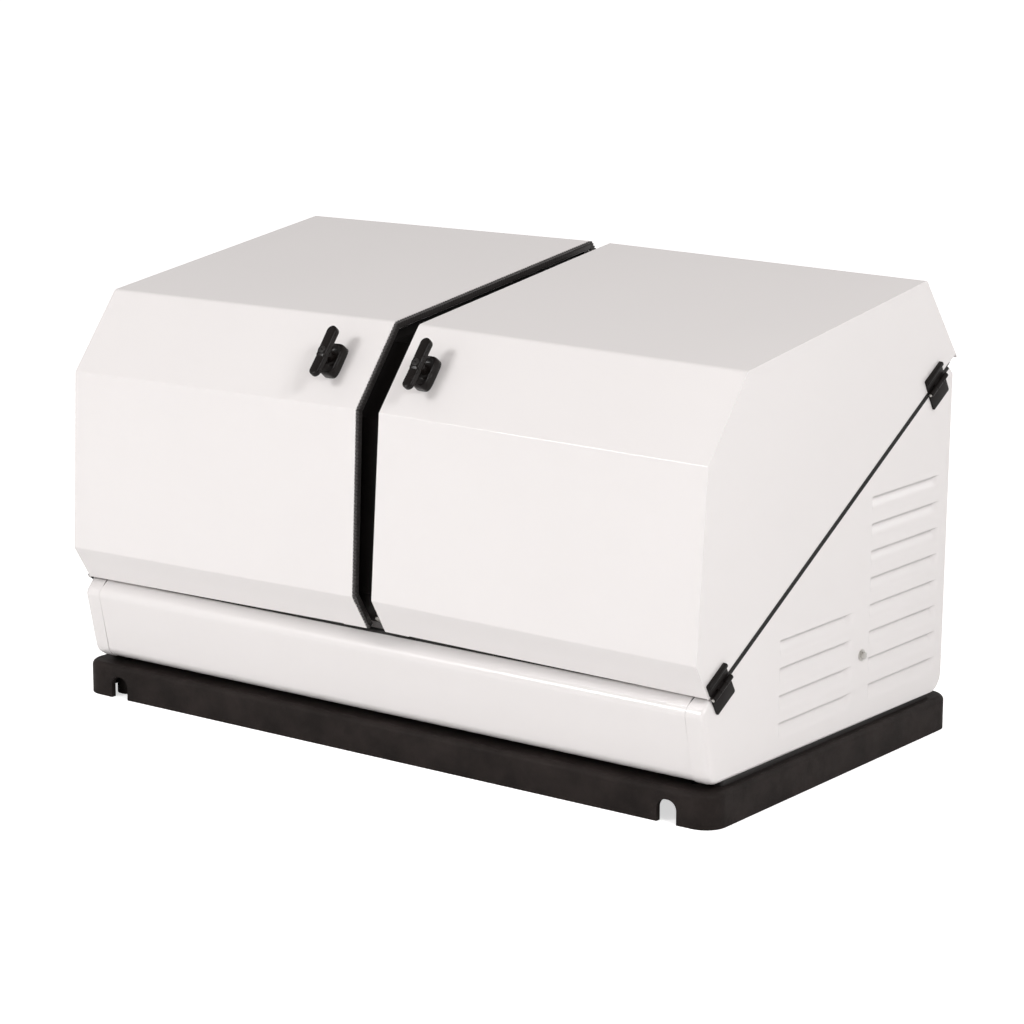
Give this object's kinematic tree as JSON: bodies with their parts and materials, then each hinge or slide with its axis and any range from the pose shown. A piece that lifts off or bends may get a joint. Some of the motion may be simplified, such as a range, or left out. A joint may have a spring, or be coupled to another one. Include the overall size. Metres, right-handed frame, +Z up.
{
  "type": "home standby generator",
  "caption": "Air-cooled home standby generator: two clamshell lids on diagonal end hinges over an engine and alternator on a moulded pad.",
  "frame": {"origin": "on the floor under the centre of the base pad", "axes": "+X along the length to the right, the front with the latches faces -Y, +Z up"},
  "size_m": [1.24, 0.7299, 0.7346],
  "materials": {
    "white_paint": "gloss",
    "black_pad": "textured",
    "black_steel": "satin",
    "black_hardware": "satin",
    "rubber": "matte",
    "zinc": "satin",
    "cast_aluminium": "cast",
    "engine_black": "satin",
    "steel": "satin",
    "iron": "satin",
    "fan_plastic": "satin",
    "filter_paint": "gloss",
    "dipstick_yellow": "satin",
    "battery_plastic": "satin",
    "control_grey": "satin",
    "toggle_black": "satin",
    "button_green": "satin",
    "button_red": "satin"
  },
  "bodies": {
    "enclosure": {"base_pad": "black_pad", "base_tray": "black_steel", "end_panel_right": "white_paint", "end_panel_left": "white_paint", "front_panel": "white_paint", "rear_panel": "white_paint", "rear_vent_panel": "white_paint", "centre_channel": "black_steel", "weather_seals": "rubber", "panel_bolts": "zinc", "hinge_body_leaves": "black_hardware", "hinge_pins": "zinc", "engine_crankcase": "cast_aluminium", "engine_cylinders": "cast_aluminium", "cylinder_heads": "cast_aluminium", "valve_covers": "engine_black", "blower_housing": "black_steel", "alternator_stator": "iron", "alternator_end_bell": "cast_aluminium", "alternator_adapter": "cast_aluminium", "engine_rails": "black_steel", "vibration_mounts": "rubber", "intake_manifold": "cast_aluminium", "air_cleaner": "engine_black", "exhaust_headers": "steel", "muffler": "steel", "starter_motor": "cast_aluminium", "oil_filter": "filter_paint", "battery": "battery_plastic", "battery_cables": "rubber", "control_box": "control_grey", "fuel_train": "cast_aluminium", "fuel_hose": "rubber", "conduit_hub": "cast_aluminium"},
    "lid_right": {"lid_right_skin": "white_paint", "lid_right_end": "white_paint", "lid_right_trim": "rubber", "lid_right_hinge_leaves": "black_hardware", "latch_right_base": "black_hardware"},
    "lid_left": {"lid_left_skin": "white_paint", "lid_left_end": "white_paint", "lid_left_trim": "rubber", "lid_left_hinge_leaves": "black_hardware", "latch_left_base": "black_hardware"},
    "latch_right": {"latch_right_handle": "black_hardware", "latch_right_pawl": "zinc"},
    "latch_left": {"latch_left_handle": "black_hardware", "latch_left_pawl": "zinc"},
    "lock_right": {"latch_right_lock_plug": "zinc"},
    "lock_left": {"latch_left_lock_plug": "zinc"},
    "crank_train": {"crankshaft": "steel", "flywheel": "iron", "cooling_fan": "fan_plastic", "alternator_rotor": "iron"},
    "breaker_toggle": {"breaker_toggle": "toggle_black"},
    "start_button": {"start_button": "button_green"},
    "stop_button": {"stop_button": "button_red"},
    "fuel_lever": {"fuel_valve_lever": "zinc"},
    "dipstick": {"dipstick": "dipstick_yellow"},
    "air_cleaner_cover": {"air_cleaner_cover": "engine_black"}
  },
  "joints": [
    {"name": "lid_right_hinge", "type": "hinge", "parent": "enclosure", "child": "lid_right", "pos_m": [0.6113, -0.17099, 0.29033], "axis": [0, 0.8617, 0.5075], "range_deg": [0, 100]},
    {"name": "latch_right_turn", "type": "hinge", "parent": "lid_right", "child": "latch_right", "pos_m": [0.08201, -0.31425, 0.60234], "axis": [0.0139, -0.7813, 0.624], "range_deg": [0, 90]},
    {"name": "lock_right_turn", "type": "hinge", "parent": "latch_right", "child": "lock_right", "pos_m": [0.08201, -0.31425, 0.60234], "axis": [0.0139, -0.7813, 0.624], "range_deg": [0, 90]},
    {"name": "lid_left_hinge", "type": "hinge", "parent": "enclosure", "child": "lid_left", "pos_m": [-0.6113, -0.17099, 0.29033], "axis": [0, -0.8617, -0.5075], "range_deg": [0, 100]},
    {"name": "latch_left_turn", "type": "hinge", "parent": "lid_left", "child": "latch_left", "pos_m": [-0.09801, -0.31413, 0.60213], "axis": [0.0139, 0.7813, -0.624], "range_deg": [0, 90]},
    {"name": "lock_left_turn", "type": "hinge", "parent": "latch_left", "child": "lock_left", "pos_m": [-0.09801, -0.31413, 0.60213], "axis": [0.0139, 0.7813, -0.624], "range_deg": [0, 90]},
    {"name": "crank_spin", "type": "hinge", "parent": "enclosure", "child": "crank_train", "pos_m": [0, 0.03, 0.29], "axis": [1, 0, 0], "continuous": true},
    {"name": "breaker_switch", "type": "hinge", "parent": "enclosure", "child": "breaker_toggle", "pos_m": [-0.15, -0.297, 0.41], "axis": [1, 0, 0], "range_deg": [0, 60]},
    {"name": "start_press", "type": "slide", "parent": "enclosure", "child": "start_button", "axis": [0, 1, 0], "range_m": [0, 0.002], "stiffness_N_per_m": 400, "springref_m": -0.002},
    {"name": "stop_press", "type": "slide", "parent": "enclosure", "child": "stop_button", "axis": [0, 1, 0], "range_m": [0, 0.002], "stiffness_N_per_m": 400, "springref_m": -0.002},
    {"name": "fuel_lever_turn", "type": "hinge", "parent": "enclosure", "child": "fuel_lever", "pos_m": [-0.45, 0.2812, 0.205], "axis": [0, 0, 1], "range_deg": [0, 90]},
    {"name": "dipstick_pull", "type": "slide", "parent": "enclosure", "child": "dipstick", "axis": [0, 0, 1], "range_m": [0, 0.1]},
    {"name": "air_cleaner_lift", "type": "slide", "parent": "enclosure", "child": "air_cleaner_cover", "axis": [0, 0, 1], "range_m": [0, 0.06]}
  ]
}
